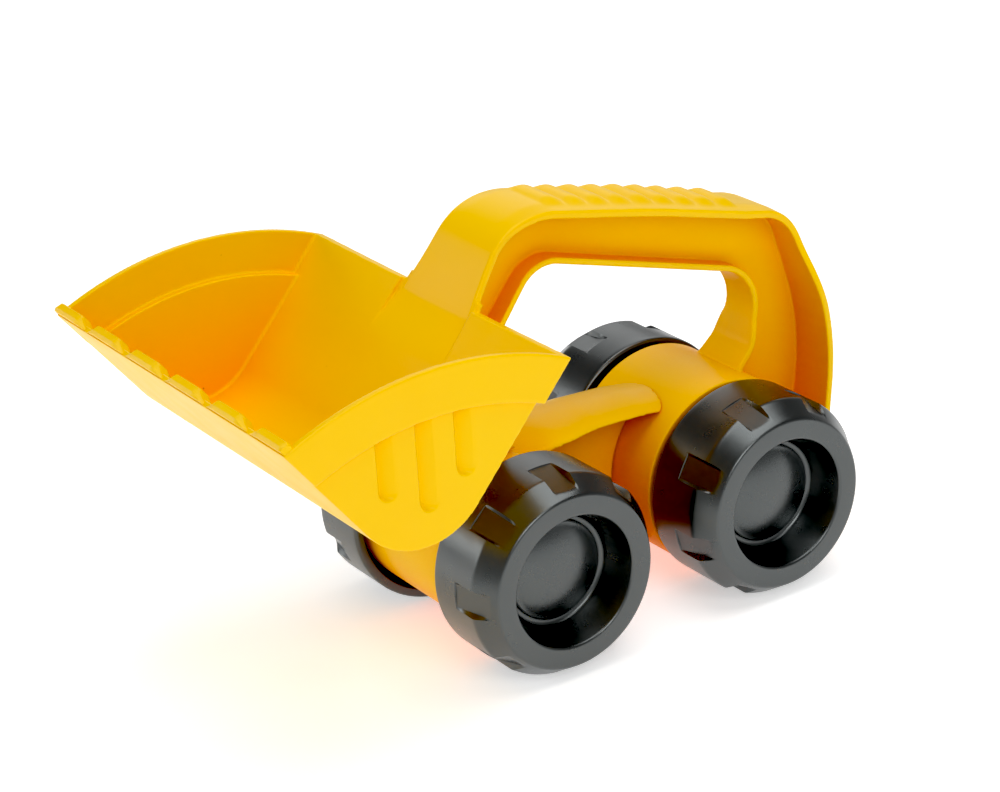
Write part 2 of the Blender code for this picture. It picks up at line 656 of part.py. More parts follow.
def make_axle(name, x, mat):
    end = DISH_Y + 0.035 * U
    profile = [(0.0, -end), (AXLE_R - 0.0006, -end), (AXLE_R, -end + 0.0006), (AXLE_R, end - 0.0006),
               (AXLE_R - 0.0006, end), (0.0, end)]
    axle = add_object(name, lathe(profile, 20, 0.0, 0.0), mat)
    axle.location = (x, 0.0, AXLE_Z)


def make_screw(name, seat, direction, length, mat):
    """Pan-head screw: its head rests on the seat and its shank runs along the direction."""
    head = rod((0, 0, -SCREW_HEAD_H), (0, 0, 0), SCREW_HEAD_R, 20)
    top = [v for v in head.verts if v.co.z < -0.5 * SCREW_HEAD_H]
    for v in top:
        v.co.x *= 0.72
        v.co.y *= 0.72
    screw = add_object(name, head, mat)
    shank = rod((0, 0, -0.4 * SCREW_HEAD_H), (0, 0, length), SCREW_R, 12)
    unite(screw, add_object("shank", shank))
    for turn in (0.0, math.pi / 2):
        bar = bmesh.new()
        bmesh.ops.create_cube(bar, size=1.0, matrix=Matrix.Translation((0, 0, -SCREW_HEAD_H))
                              @ Matrix.Rotation(turn, 4, "Z") @ Matrix.Diagonal((0.0032, 0.0007, 0.0016, 1.0)))
        subtract(screw, add_object("bar", bar))
    screw.rotation_mode = "QUATERNION"
    screw.rotation_quaternion = Vector(direction).to_track_quat("Z", "Y")
    screw.location = seat


# ---------------------------------------------------------------- assembly
def centre_length():
    """Move all pieces along X so the middle of the overall length is at x = 0."""
    bpy.context.view_layer.update()
    xs = [(obj.matrix_world @ v.co).x for obj in bpy.data.objects for v in obj.data.vertices]
    middle = 0.5 * (min(xs) + max(xs))
    for obj in bpy.data.objects:
        obj.location.x -= middle


def main():
    for obj in list(bpy.data.objects):
        bpy.data.objects.remove(obj, do_unlink=True)
    yellow = material("yellow_plastic", (0.90, 0.50, 0.005), 0.38)
    black = material("black_plastic", (0.030, 0.031, 0.032), 0.45)
    cap = material("cap_plastic", (0.026, 0.027, 0.028), 0.35)
    steel = material("steel", (0.62, 0.62, 0.63), 0.30, 1.0)

    make_scoop(yellow)
    make_handle_frame(yellow)
    make_front_chassis(yellow)
    make_arm(yellow)
    mats = {"wheel": black, "cap": cap, "steel": steel}
    make_corner("front_left", AXLE_X, 1, 0.0, mats)
    make_corner("front_right", AXLE_X, -1, 22.5, mats)
    make_corner("rear_left", -AXLE_X, 1, -15.4, mats)
    make_corner("rear_right", -AXLE_X, -1, 11.5, mats)
    make_axle("front_axle", AXLE_X, steel)
    make_axle("rear_axle", -AXLE_X, steel)

    for side, word in ((1, "left"), (-1, "right")):
        seat = back_point(SCOOP_SCREW_AT, LEG_OUT + WALL + 2 * GAP)
        make_screw("scoop_screw_" + word, (seat.x, side * SCOOP_SCREW_Y, seat.y),
                   (-BACK_OUT.x, 0.0, -BACK_OUT.y), 0.0046, steel)
        inner = FRONT_BARREL_R - BARREL_WALL
        seat_z = AXLE_Z + math.sqrt(inner ** 2 - (FOOT_SCREW_X - AXLE_X + SCREW_HEAD_R) ** 2) - 2 * GAP
        make_screw("foot_screw_" + word, (FOOT_SCREW_X, side * FOOT_SCREW_Y, seat_z), (0, 0, 1), 0.0150, steel)
        inner = REAR_BARREL_R - BARREL_WALL
        seat_x = -AXLE_X + math.sqrt(inner ** 2 - (AXLE_Z - ARM_SCREW_Z + SCREW_HEAD_R) ** 2) - 2 * GAP
        make_screw("arm_screw_" + word, (seat_x, side * ARM_SCREW_Y, ARM_SCREW_Z), (1, 0, 0), 0.0150, steel)
    centre_length()


main()
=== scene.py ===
"""Looks of the hand-pushed toy loader: skins of its mouldings, plastics, studio and camera."""
import math

import bmesh
import bpy
from mathutils import Matrix, Vector


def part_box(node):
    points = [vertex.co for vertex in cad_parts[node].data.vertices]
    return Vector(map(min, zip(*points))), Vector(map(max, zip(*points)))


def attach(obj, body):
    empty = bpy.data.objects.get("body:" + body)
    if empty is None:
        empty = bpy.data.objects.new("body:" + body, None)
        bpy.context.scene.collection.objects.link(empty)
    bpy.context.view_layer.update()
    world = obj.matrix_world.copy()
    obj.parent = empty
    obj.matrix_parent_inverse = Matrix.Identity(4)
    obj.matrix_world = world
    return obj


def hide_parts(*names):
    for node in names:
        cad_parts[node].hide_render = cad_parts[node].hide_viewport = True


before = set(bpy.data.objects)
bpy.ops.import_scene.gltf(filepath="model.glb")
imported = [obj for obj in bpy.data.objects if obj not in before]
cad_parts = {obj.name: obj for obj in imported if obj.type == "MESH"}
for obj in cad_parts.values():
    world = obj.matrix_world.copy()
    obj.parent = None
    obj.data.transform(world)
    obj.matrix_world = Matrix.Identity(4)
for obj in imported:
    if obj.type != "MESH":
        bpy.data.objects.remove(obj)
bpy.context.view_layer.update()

# ---------------------------------------------------------------- measures taken from the frame
wheel_low, wheel_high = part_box("front_left_wheel")
rear_low, rear_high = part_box("rear_left_wheel")
U = (wheel_high.z - wheel_low.z) / 2            # wheel radius
FRONT_X = (wheel_low.x + wheel_high.x) / 2
REAR_X = (rear_low.x + rear_high.x) / 2
MID_X = (FRONT_X + REAR_X) / 2                  # shapes are drawn from the middle of the wheelbase
AXLE_X = (FRONT_X - REAR_X) / 2
AXLE_Z = U
WHEEL_OUT_Y = wheel_high.y
WHEEL_IN_Y = wheel_low.y

WALL = 0.065 * U
WEB = 0.040 * U
REAR_BARREL_R = 0.970 * U
REAR_BARREL_Y = 0.618 * U
FRONT_BARREL_R = 0.842 * U
FRONT_BARREL_Y = 0.870 * U
SCOOP_Y = 2.0915 * U
BAND_STEP = 0.050 * U
ARC_X = 2.9156 * U
ARC_Z = 0.4035 * U
ARC_R = 3.375 * U
BAND_R = 2.935 * U
CORNER = Vector((3.132 * U, 1.737 * U))
CORNER_R = 0.71 * U
BACK_DEG = 131.2
FLOOR_DEG = 52.6
FLOOR_LEN = 2.105 * U
BOW = 0.085 * U
GROOVE = 0.060 * U
GROOVE_HALF = 0.110 * U
GROOVE_LOW_ENDS = ((3.43 * U, 2.69 * U), (3.03 * U, 2.47 * U), (2.64 * U, 2.69 * U))
TOOTH_W = 0.43 * U
TOOTH_OUT = 0.078 * U
TOOTH_THICK = 0.118 * U
TOOTH_COUNT = 6
DISH_Y = 1.200 * U
CAP_R = 0.4956 * U
CAP_GAP = 0.0003
JOINT_GAP = 0.0006                              # between the arm and the rear barrel

VOXEL = 0.00045


# ---------------------------------------------------------------- mesh tools
def add_object(name, bm):
    bmesh.ops.recalc_face_normals(bm, faces=bm.faces)
    mesh = bpy.data.meshes.new(name)
    bm.to_mesh(mesh)
    bm.free()
    obj = bpy.data.objects.new(name, mesh)
    bpy.context.scene.collection.objects.link(obj)
    return obj


def make_triangles(obj):
    bm = bmesh.new()
    bm.from_mesh(obj.data)
    bmesh.ops.remove_doubles(bm, verts=bm.verts, dist=2e-6)
    bmesh.ops.dissolve_degenerate(bm, edges=bm.edges, dist=2e-6)
    bmesh.ops.triangulate(bm, faces=bm.faces, quad_method="BEAUTY", ngon_method="BEAUTY")
    bm.to_mesh(obj.data)
    bm.free()


def take_result(obj):
    """Replace the mesh by what the modifiers make of it."""
    bpy.context.view_layer.update()
    shape = bpy.data.meshes.new_from_object(obj.evaluated_get(bpy.context.evaluated_depsgraph_get()))
    obj.modifiers.clear()
    old = obj.data
    obj.data = shape
    bpy.data.meshes.remove(old)


def combine(base, tool, operation):
    make_triangles(base)
    make_triangles(tool)
    cut = base.modifiers.new("cut", "BOOLEAN")
    cut.operation = operation
    cut.solver = "EXACT"
    cut.object = tool
    take_result(base)
    bpy.data.objects.remove(tool, do_unlink=True)


def subtract(base, *tools):
    for tool in tools:
        combine(base, tool, "DIFFERENCE")


def clear_rooms(parts, rooms):
    """Cut every room out of every part, then drop the rooms."""
    for part in parts:
        for room in rooms:
            copy = bpy.data.objects.new("copy", room.data.copy())
            bpy.context.scene.collection.objects.link(copy)
            combine(part, copy, "DIFFERENCE")
    for room in rooms:
        bpy.data.objects.remove(room, do_unlink=True)


def gather(name, parts):
    """Put several overlapping solids in one object."""
    bm = bmesh.new()
    for part in parts:
        bm.from_mesh(part.data)
        bpy.data.objects.remove(part, do_unlink=True)
    mesh = bpy.data.meshes.new(name)
    bm.to_mesh(mesh)
    bm.free()
    obj = bpy.data.objects.new(name, mesh)
    bpy.context.scene.collection.objects.link(obj)
    return obj


def add_faces(obj, shapes):
    """Add crisp, flat-shaded solids to a finished skin."""
    for shape in shapes:
        mesh = bpy.data.meshes.new("addition")
        shape.to_mesh(mesh)
        shape.free()
        bm = bmesh.new()
        bm.from_mesh(obj.data)
        bm.from_mesh(mesh)
        bm.to_mesh(obj.data)
        bm.free()
        bpy.data.meshes.remove(mesh)


def melt(obj, rounds, triangles):
    """Fuse the overlapping solids of a moulding into one skin with softly rounded edges."""
    remesh = obj.modifiers.new("skin", "REMESH")
    remesh.mode = "VOXEL"
    remesh.voxel_size = VOXEL
    remesh.adaptivity = 0.0
    smooth = obj.modifiers.new("soften", "SMOOTH")
    smooth.factor = 0.5
    smooth.iterations = rounds
    take_result(obj)
    count = len(obj.data.polygons) * 2
    if count > triangles:
        thin = obj.modifiers.new("thin", "DECIMATE")
        thin.ratio = triangles / count
        take_result(obj)
    obj.data.shade_smooth()


def ring_loft(sections):
    bm = bmesh.new()
    rings = [[bm.verts.new(p) for p in section] for section in sections]
    count = len(rings[0])
    for a, b in zip(rings, rings[1:]):
        for i in range(count):
            j = (i + 1) % count
            bm.faces.new((a[i], a[j], b[j], b[i]))
    bm.faces.new(rings[0])
    bm.faces.new(rings[-1])
    return bm


def prism(points, y0, y1, slices=1, bend=None):
    sections = []
    for k in range(slices + 1):
        y = y0 + (y1 - y0) * k / slices
        section = []
        for x, z in points:
            dx, dz = bend(x, y, z) if bend else (0.0, 0.0)
            section.append((x + dx, y, z + dz))
        sections.append(section)
    return ring_loft(sections)


def lathe(profile, segments, x, z):
    """Turn a closed (radius, y) outline about the Y axis through (x, z)."""
    bm = bmesh.new()
    rows = []
    for radius, y in profile:
        if radius == 0.0:
            rows.append([bm.verts.new((x, y, z))])
            continue
        turns = [math.tau * k / segments for k in range(segments)]
        rows.append([bm.verts.new((x + radius * math.cos(a), y, z + radius * math.sin(a))) for a in turns])
    for a, b in zip(rows, rows[1:] + rows[:1]):
        if len(a) == 1 and len(b) == 1:
            continue
        for k in range(segments):
            j = (k + 1) % segments
            if len(a) == 1:
                bm.faces.new((a[0], b[j], b[k]))
            elif len(b) == 1:
                bm.faces.new((a[k], a[j], b[0]))
            else:
                bm.faces.new((a[k], a[j], b[j], b[k]))
    return bm


def rod(start, end, radius, segments=48):
    start = Vector(start)
    axis = Vector(end) - start
    turn = axis.to_track_quat("Z", "Y").to_matrix().to_4x4()
    bm = bmesh.new()
    bmesh.ops.create_cone(bm, cap_ends=True, segments=segments, radius1=radius, radius2=radius,
                          depth=axis.length, matrix=Matrix.Translation(start + axis / 2) @ turn)
    return bm


def round_corner(before, here, after, radius, steps):
    """Points of the arc that rounds the corner at here."""
    here = Vector(here)
    to_before = (Vector(before) - here).normalized()
    to_after = (Vector(after) - here).normalized()
    inside = to_before.angle(to_after)
    reach = radius / math.tan(inside / 2)
    centre = here + (to_before + to_after).normalized() * (radius / math.sin(inside / 2))
    first = here + to_before * reach - centre
    last = here + to_after * reach - centre
    turn = math.pi - inside
    way = 1.0 if first.x * last.y - first.y * last.x > 0 else -1.0
    out = []
    for k in range(steps + 1):
        a = way * turn * k / steps
        out.append(centre + Vector((first.x * math.cos(a) - first.y * math.sin(a),
                                    first.x * math.sin(a) + first.y * math.cos(a))))
    return out


def filleted(corners, step_deg=2.5):
    """Round corners of (x, z, fillet radius, half width) into points (x, z, half width, distance along)."""
    points = []
    for i, (x, z, radius, half) in enumerate(corners):
        if i in (0, len(corners) - 1) or radius == 0.0:
            points.append((Vector((x, z)), half))
            continue
        before, here, after = Vector(corners[i - 1][:2]), Vector((x, z)), Vector(corners[i + 1][:2])
        inside = (before - here).angle(after - here)
        steps = max(3, math.ceil(math.degrees(math.pi - inside) / step_deg))
        points += [(p, half) for p in round_corner(before, here, after, radius, steps)]
    out = []
    along = 0.0
    for i, (point, half) in enumerate(points):
        if i:
            along += (point - points[i - 1][0]).length
        out.append((point.x, point.y, half, along))
    return out


def resample(path, step):
    out = [path[0]]
    for a, b in zip(path, path[1:]):
        parts = max(1, math.ceil((b[3] - a[3]) / step))
        for k in range(1, parts + 1):
            t = k / parts
            out.append(tuple(a[m] + (b[m] - a[m]) * t for m in range(4)))
    return out


def side_of_path(path, i):
    """Unit normal of the path at its point i."""
    a = path[max(i - 1, 0)]
    b = path[min(i + 1, len(path) - 1)]
    tangent = Vector((b[0] - a[0], b[1] - a[1])).normalized()
    return Vector((tangent.y, -tangent.x))


def flange(path, thickness, edge, side, lift=None, rows_across=16):
    """Strip along a path: its face lies on the path and its body on the given side.

    lift(distance, share of half width) raises the face."""
    sections = []
    for i, (x, z, half, along) in enumerate(path):
        normal = side_of_path(path, i) * side
        rows = []
        flat = half - edge
        for k in range(rows_across + 1):
            y = -flat + 2 * flat * k / rows_across
            rows.append((-lift(along, y / half) if lift else 0.0, y))
        drop = -lift(along, 1.0) if lift else 0.0
        bend = [(drop + edge * (1 - math.cos(a)), half - edge * (1 - math.sin(a)))
                for a in (math.radians(22.5 * k) for k in range(1, 5))]
        rows += bend + [(thickness + drop, half), (thickness + drop, -half)]
        rows += [(depth, -y) for depth, y in reversed(bend)]
        sections.append([(x + normal.x * depth, y, z + normal.y * depth) for depth, y in rows])
    return ring_loft(sections)


def rolled(path, height, crown_wall):
    """Half-round bar along a path: a crown falling to a crisp lip on both sides, hollow underneath."""
    sections = []
    for i, (x, z, half, _) in enumerate(path):
        normal = side_of_path(path, i)
        rows = []
        for k in range(33):
            a = math.radians(-90.0 + 180.0 * k / 32)
            rows.append((height * (1.0 - math.cos(a)) ** 0.9, half * math.sin(a)))
        inner = half - 0.05 * U
        for k in range(17):
            a = math.radians(90.0 - 180.0 * k / 16)
            hollow = (height - crown_wall) * max(0.0, math.cos(a)) ** 0.8
            rows.append((height - hollow, inner * math.sin(a)))
        sections.append([(x + normal.x * depth, y, z + normal.y * depth) for depth, y in rows])
    return ring_loft(sections)


def offset_path(path, distance, side):
    out = []
    for i, p in enumerate(path):
        normal = side_of_path(path, i) * side * distance
        out.append((p[0] + normal.x, p[1] + normal.y))
    return out


def arc_points(cx, cz, radius, start_deg, end_deg, count):
    out = []
    for k in range(count + 1):
        a = math.radians(start_deg + (end_deg - start_deg) * k / count)
        out.append((cx + radius * math.cos(a), cz + radius * math.sin(a)))
    return out


def smooth_step(t):
    t = max(0.0, min(1.0, t))
    return t * t * (3 - 2 * t)


def place(obj):
    """Move a piece drawn about the middle of the wheelbase to its place in the frame."""
    obj.data.transform(Matrix.Translation((MID_X, 0.0, 0.0)))


# ---------------------------------------------------------------- scoop
BACK_DIR = Vector((math.cos(math.radians(BACK_DEG)), math.sin(math.radians(BACK_DEG))))
FLOOR_DIR = Vector((math.cos(math.radians(FLOOR_DEG)), math.sin(math.radians(FLOOR_DEG))))
BACK_OUT = Vector((-BACK_DIR.y, BACK_DIR.x))
FLOOR_OUT = Vector((FLOOR_DIR.y, -FLOOR_DIR.x))
LEG_OUT = BOW + 0.020 * U
LEG_LEAN = 0.0791 / 0.9967
LEG_LOW = 1.70 * U                              # distances up the back wall from the corner
LEG_BLEND = 1.72 * U
LEG_SHOULDER = 1.74 * U


def arc_hit(point, direction, radius):
    """Distance from the point along the direction to the circle about the panels' centre."""
    rel = Vector(point) - Vector((ARC_X, ARC_Z))
    b = rel.dot(direction)
    return -b + math.sqrt(b * b - rel.length_squared + radius * radius)


def arc_angle(point):
    return math.degrees(math.atan2(point.y - ARC_Z, point.x - ARC_X))


def scoop_outline(inset, back_out, top_radius, low_radius=None, reach=FLOOR_LEN):
    """Side outline of the scoop's solid or of its cavity, closed by the top arc."""
    half = math.radians((BACK_DEG - FLOOR_DEG) / 2)
    corner = CORNER + (BACK_DIR + FLOOR_DIR).normalized() * (inset / math.sin(half))
    back_start = corner + BACK_OUT * back_out
    top_back = back_start + BACK_DIR * arc_hit(back_start, BACK_DIR, top_radius)
    lip = corner + FLOOR_DIR * min(reach, arc_hit(corner, FLOOR_DIR, top_radius))
    outline = arc_points(ARC_X, ARC_Z, top_radius, arc_angle(lip), arc_angle(top_back), 80)
    if (Vector(outline[0]) - lip).length > 1e-5:
        outline.insert(0, tuple(lip))
    if low_radius:
        low_back = back_start + BACK_DIR * arc_hit(back_start, BACK_DIR, low_radius)
        low_lip = corner + FLOOR_DIR * arc_hit(corner, FLOOR_DIR, low_radius)
        return outline + arc_points(ARC_X, ARC_Z, low_radius, arc_angle(low_back), arc_angle(low_lip), 70)
    radius = CORNER_R - inset
    back_far = [tuple(corner + BACK_DIR * (0.9 * U + 0.12 * U * k)) for k in range(12, -1, -1)]
    arc = [tuple(p) for p in round_corner(corner + BACK_DIR, corner, corner + FLOOR_DIR, radius, 40)]
    return outline + back_far + arc


def bow(x, y, z):
    """Shift that bends the back wall outward in the middle, more toward its top."""
    rel = Vector((x, z)) - CORNER
    up = smooth_step((rel.dot(BACK_DIR) - 0.45 * U) / (1.1 * U))
    back = max(0.0, min(1.0, 1.0 - (-rel.dot(BACK_OUT) - 0.30 * U) / (0.4 * U)))
    amount = BOW * (1.0 - (y / SCOOP_Y) ** 2) * up * back
    return BACK_OUT.x * amount, BACK_OUT.y * amount


def tooth(y):
    """One digging pad on the lip, centred at y: a flat top and sloped ends."""
    sections = []
    tip = CORNER + FLOOR_DIR * FLOOR_LEN
    slope = ((0.80, 0.22), (0.66, 0.48), (0.52, 0.86), (0.44, 1.0))
    for share, grow in [(-share, grow) for share, grow in slope] + list(reversed(slope)):
        out = TOOTH_OUT * grow
        thick = TOOTH_THICK * grow
        edge = SCOOP_Y - 0.012 * U + 0.004 * U * abs(share)
        section = []
        for along, up in ((-0.16 * U, 0.25 * WALL), (out, 0.20 * WALL), (out + 0.014 * U, 0.40 * thick),
                          (out - 0.004 * U, 0.92 * thick), (out - 0.030 * U, thick), (-0.06 * U, thick),
                          (-0.16 * U, 0.62 * thick), (-0.18 * U, 0.40 * WALL)):
            p = tip + FLOOR_DIR * along - FLOOR_OUT * up
            section.append((p.x, max(-edge, min(edge, y + share * TOOTH_W)), p.y))
        sections.append(section)
    bm = ring_loft(sections)
    bmesh.ops.recalc_face_normals(bm, faces=bm.faces)
    bmesh.ops.bevel(bm, geom=bm.edges[:], offset=0.006 * U, segments=2, profile=0.5, affect="EDGES",
                    clamp_overlap=True)
    return bm


def tooth_y(k):
    first = -SCOOP_Y + TOOTH_W / 2 + 0.013 * U
    return first - 2 * first * k / (TOOTH_COUNT - 1)


def back_point(distance, out):
    return CORNER + BACK_DIR * distance + BACK_OUT * out


def groove_cutters(panel_y):
    """Shallow grooves in both side panels up to the band: a steep front edge, running out to the rear."""
    cutters = []
    top_radius = BAND_R - 0.008 * U
    bottom = arc_points(0.0, 0.0, GROOVE_HALF, 180, 360, 24)
    across = [(GROOVE_HALF * (1 - k / 6), 0.0) for k in range(13)]
    for side in (-1, 1):
        for x, z_low in GROOVE_LOW_ENDS:
            sections = []
            for share, grow in ((1.0, 0.62), (0.66, 0.80), (0.22, 0.95), (-1.0, 1.0)):
                section = []
                for k, (dx, dz) in enumerate(bottom + across):
                    slope = 0.04 + 0.96 * (0.5 + 0.5 * dx / GROOVE_HALF) ** 0.9
                    depth = GROOVE * share * slope if share > 0 else -0.05 * U
                    px = x + dx * grow
                    pz = z_low + GROOVE_HALF + dz * grow
                    if k >= len(bottom):
                        pz = ARC_Z + math.sqrt(top_radius ** 2 - (px - ARC_X) ** 2)
                    section.append((px, side * (panel_y - depth), pz))
                sections.append(section)
            cutters.append(add_object("groove", ring_loft(sections)))
    return cutters


def cavity(inset, top_radius, low_radius, half_y, fillet):
    """Room inside the scoop, rounded where the side panels meet the back wall and the floor."""
    ends = []
    for k in range(9):
        a = math.radians(90.0 - 11.25 * k)
        ends.append((half_y - fillet * (1 - math.sin(a)), fillet * (1 - math.cos(a))))
    rows = [(-y, extra) for y, extra in ends]
    inner = half_y - fillet
    rows += [(inner * (k / 16 - 1.0), 0.0) for k in range(1, 32)]
    rows += [(y, extra) for y, extra in reversed(ends)]
    sections = []
    for y, extra in rows:
        section = []
        for x, z in scoop_outline(inset + extra, 0.0, top_radius, low_radius, reach=4 * U):
            dx, dz = bow(x, y, z)
            section.append((x + dx, y, z + dz))
        sections.append(section)
    return add_object("cavity", ring_loft(sections))


def leg_front(distance, y):
    """Front face of the leg: in the back wall's face below, on its own gentler line above."""
    wall = BOW * (1.0 - (y / SCOOP_Y) ** 2) - WALL
    own = LEG_OUT - LEG_LEAN * (distance - 1.8 * U)
    return wall + (own - wall) * smooth_step((distance - LEG_BLEND) / (0.70 * U))


def leg_block(half_low, half_top, back_out, up_to, front_shift):
    """Solid between the leg's front face and a plane before or behind it, narrowing upward."""
    sections = []
    steps = 24
    ys = [half_low - (half_low - half_top) * k / 6 for k in range(7)]
    ys = [-y for y in ys] + [half_top * (k / 8 - 1.0) for k in range(1, 16)] + list(reversed(ys))
    for y in ys:
        t = (half_low - abs(y)) / (half_low - half_top)
        high = LEG_SHOULDER + (up_to - LEG_SHOULDER) * max(0.04, min(1.0, t))
        section = []
        for k in range(steps + 1):
            d = LEG_LOW + (high - LEG_LOW) * k / steps
            section.append(tuple(back_point(d, leg_front(d, y) + front_shift)))
        section.append(tuple(back_point(high, back_out)))
        section.append(tuple(back_point(LEG_LOW, back_out)))
        sections.append([(x, y, z) for x, z in section])
    return ring_loft(sections)


def make_scoop():
    """Scoop with its band, cavity and grooves, and the slot that the handle's leg fills."""
    panel_y = SCOOP_Y - BAND_STEP
    fillet = 0.025 * U
    body = scoop_outline(0.0, 0.0, BAND_R + 0.05 * U)
    solid = add_object("solid", prism(body, -panel_y, panel_y, 40, bow))
    rim = scoop_outline(-0.001 * U, BAND_STEP, ARC_R, BAND_R)
    combine(solid, add_object("band", prism(rim, -SCOOP_Y, SCOOP_Y, 40, bow)), "UNION")
    subtract(solid, cavity(WALL, ARC_R + 0.30 * U, None, panel_y - 1.35 * WALL, fillet),
             cavity(WALL - 0.001 * U, ARC_R + 0.25 * U, BAND_R + 0.03 * U, SCOOP_Y - WALL, fillet))
    subtract(solid, *groove_cutters(panel_y))
    subtract(solid, add_object("slot", leg_block(0.62 * U, 0.575 * U, -0.42 * U, 2.60 * U, 0.001 * U)))
    return solid


# ---------------------------------------------------------------- handle frame
RIB_PITCH = 0.262 * U
RIB_COUNT = 9
RIB_HEIGHT = 0.052 * U


def outer_path():
    """Outer face of the frame, from under the leg over the grip and down behind the rear barrel."""
    low = back_point(1.05 * U, LEG_OUT)
    knee = back_point(1.80 * U, LEG_OUT)
    path = filleted([
        (1.70 * U, 1.55 * U, 0.0, 0.42 * U),
        (2.02 * U, 2.15 * U, 0.35 * U, 0.46 * U),
        (low.x, low.y, 0.30 * U, 0.56 * U),
        (knee.x, knee.y, 1.2 * U, 0.63 * U),
        (0.965 * U, 4.280 * U, 0.76 * U, 0.45 * U),
        (-0.700 * U, 3.890 * U, 9.0 * U, 0.43 * U),
        (-2.320 * U, 3.425 * U, 0.60 * U, 0.38 * U),
        (-2.765 * U, 2.030 * U, 2.60 * U, 0.55 * U),
        (-2.560 * U, 0.800 * U, 0.45 * U, 0.58 * U),
        (-1.800 * U, 0.260 * U, 0.0, 0.50 * U),
    ])
    return resample(path, RIB_PITCH / 16)


def inner_path():
    """Edge of the hand opening, from the front barrel round to the rear barrel."""
    return resample(filleted([
        (0.98 * U, 1.80 * U, 0.0, 0.36 * U),
        (1.19 * U, 2.10 * U, 0.25 * U, 0.32 * U),
        (1.30 * U, 2.75 * U, 0.40 * U, 0.29 * U),
        (0.603 * U, 3.591 * U, 0.36 * U, 0.25 * U),
        (-2.080 * U, 2.770 * U, 0.45 * U, 0.22 * U),
        (-1.830 * U, 2.080 * U, 0.30 * U, 0.30 * U),
        (-1.580 * U, 1.830 * U, 0.0, 0.36 * U),
    ]), 0.05 * U)


def soften_widths(path, window):
    """Average the half widths along the path, so the flange's edges run in smooth curves."""
    out = []
    for x, z, _, along in path:
        near = [p[2] for p in path if abs(p[3] - along) < window]
        out.append((x, z, sum(near) / len(near), along))
    return out


def grip_lift(start):
    """Rounded-off sides of the grip and the raised ribs across its middle."""
    def lift(along, share):
        run = along - start
        length = RIB_PITCH * RIB_COUNT
        fade = smooth_step((run + 0.7 * U) / (0.7 * U)) * smooth_step((length + 0.7 * U - run) / (0.7 * U))
        height = -0.042 * U * smooth_step((abs(share) - 0.52) / 0.55) * fade
        if 0 < run < length:
            wave = abs(math.sin(math.pi * run / RIB_PITCH)) ** 0.85
            height += RIB_HEIGHT * wave * (1.0 - smooth_step((abs(share) - 0.42) / 0.38))
        return height
    return lift


def barrel_profile(radius, end_y):
    inner = radius - WALL
    bore = 0.075 * U
    boss = 0.20 * U
    boss_y = 0.885 * U
    soft = 0.006 * U
    return [(radius - soft, -end_y), (radius, soft - end_y), (radius, end_y - soft), (radius - soft, end_y),
            (inner, end_y), (inner, WEB), (boss, WEB), (boss, boss_y), (bore, boss_y), (bore, -boss_y),
            (boss, -boss_y), (boss, -WEB), (inner, -WEB), (inner, -end_y)]


def barrel_angle(point):
    return math.degrees(math.atan2(point[1] - AXLE_Z, point[0] + AXLE_X)) % 360


def outside_barrel(points, radius):
    return [p for p in points if math.hypot(p[0] + AXLE_X, p[1] - AXLE_Z) > radius]


def make_upper():
    """Scoop and handle frame, moulded in one."""
    outer = soften_widths(outer_path(), 0.30 * U)
    inner = soften_widths(inner_path(), 0.20 * U)
    start = next(p[3] for p in outer if p[0] < 0.60 * U and p[1] > 4.0 * U)
    lift = grip_lift(start + 0.05 * U)
    band = add_object("band", flange(outer, WALL + 0.01 * U, 0.018 * U, -1, lift, 30))
    rim = add_object("rim", flange(inner, WALL, 0.014 * U, 1))
    mid_wall = REAR_BARREL_R - 0.5 * WALL
    outline = outside_barrel(offset_path(outer, 0.8 * WALL, -1), mid_wall)
    back_edge = outside_barrel(offset_path(inner, 0.8 * WALL, 1), mid_wall)[::-1]
    seam = barrel_angle(outline[-1]), barrel_angle(back_edge[0])
    outline += arc_points(-AXLE_X, AXLE_Z, mid_wall, *seam, 60) + back_edge
    web = add_object("web", prism(outline, -WEB, WEB))
    pad = add_object("pad", leg_block(0.61 * U, 0.562 * U, LEG_OUT + 0.4 * WALL, 2.44 * U, 0.0))
    shell = gather("shell", [band, rim, pad])
    core = add_object("core", rod((-AXLE_X, -0.61 * U, AXLE_Z), (-AXLE_X, 0.61 * U, AXLE_Z), mid_wall, 160))
    front = arc_points(AXLE_X, AXLE_Z, FRONT_BARREL_R, 90, -90, 60)
    front += [(0.0, 0.2 * U), (0.0, 1.87 * U), (AXLE_X - 0.12 * U, 1.87 * U)]
    clear_rooms((shell, web), (core, add_object("room", prism(front, -1.5 * U, 1.5 * U))))
    barrel = add_object("barrel", lathe(barrel_profile(REAR_BARREL_R, REAR_BARREL_Y), 180, -AXLE_X, AXLE_Z))
    upper = gather("scoop_and_handle_skin", [make_scoop(), shell, web, barrel])
    melt(upper, 4, 185000)
    add_faces(upper, [tooth(tooth_y(k)) for k in range(TOOTH_COUNT)])
    place(upper)
    return upper


